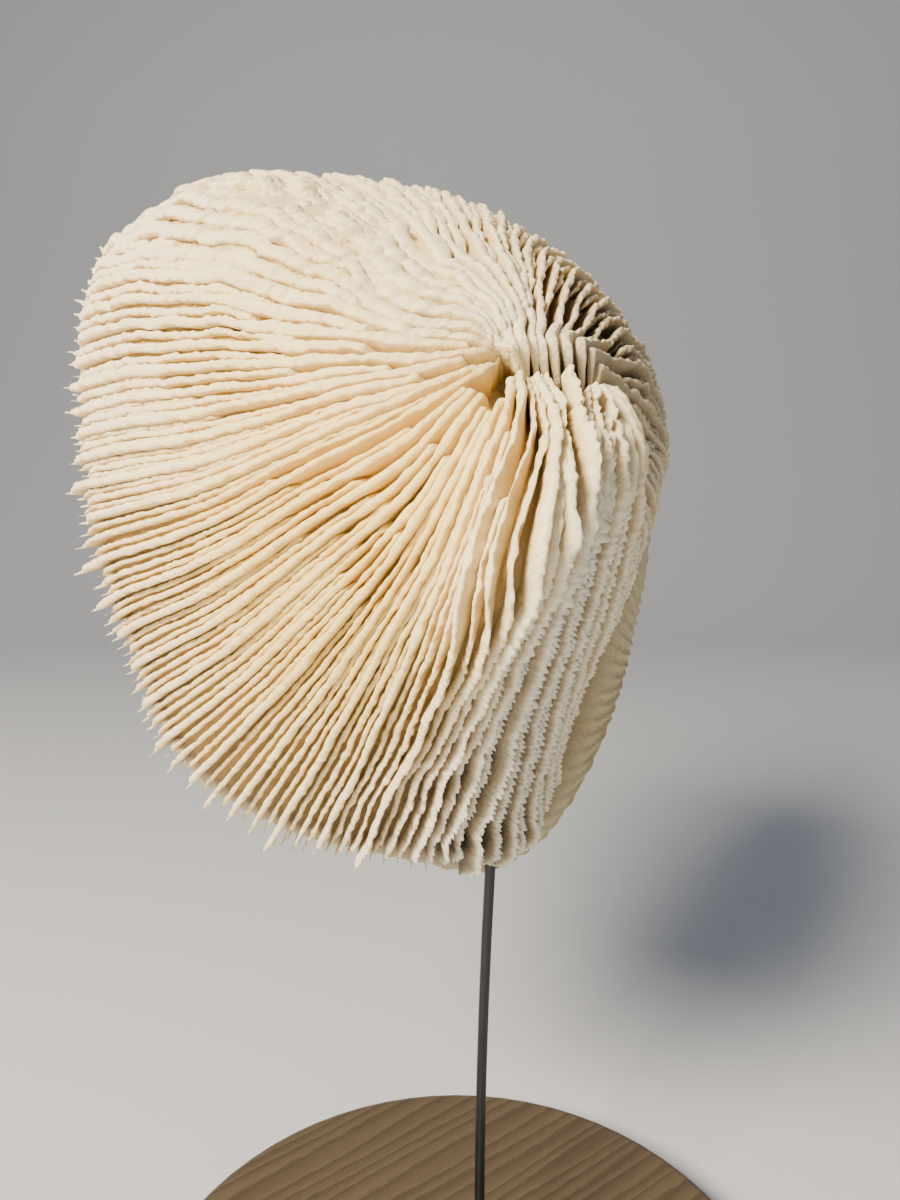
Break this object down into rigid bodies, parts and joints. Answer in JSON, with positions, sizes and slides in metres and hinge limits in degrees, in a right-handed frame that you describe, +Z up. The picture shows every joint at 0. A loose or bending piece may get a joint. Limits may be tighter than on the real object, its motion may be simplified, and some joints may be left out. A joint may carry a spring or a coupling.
{
  "type": "mushroom coral on a stand",
  "caption": "Arched mushroom coral with radiating ridges round a slit mouth, held up by a thin bent steel rod in a round wooden base that stands on a table or shelf.",
  "frame": {"origin": "centre of the wooden base's underside, on the table", "axes": "+Z up; the coral's mouth and its ridged side look along -Y; +X is to the right seen from there, towards the coral's bulged side"},
  "size_m": [0.2152, 0.2, 0.3661],
  "materials": {
    "coral": "matt chalky white with tan hollows",
    "rod": "plain dark wire",
    "base": "oiled, open grain"
  },
  "bodies": {
    "root": {"coral": "coral", "rod": "rod", "base": "base"}
  },
  "joints": []
}
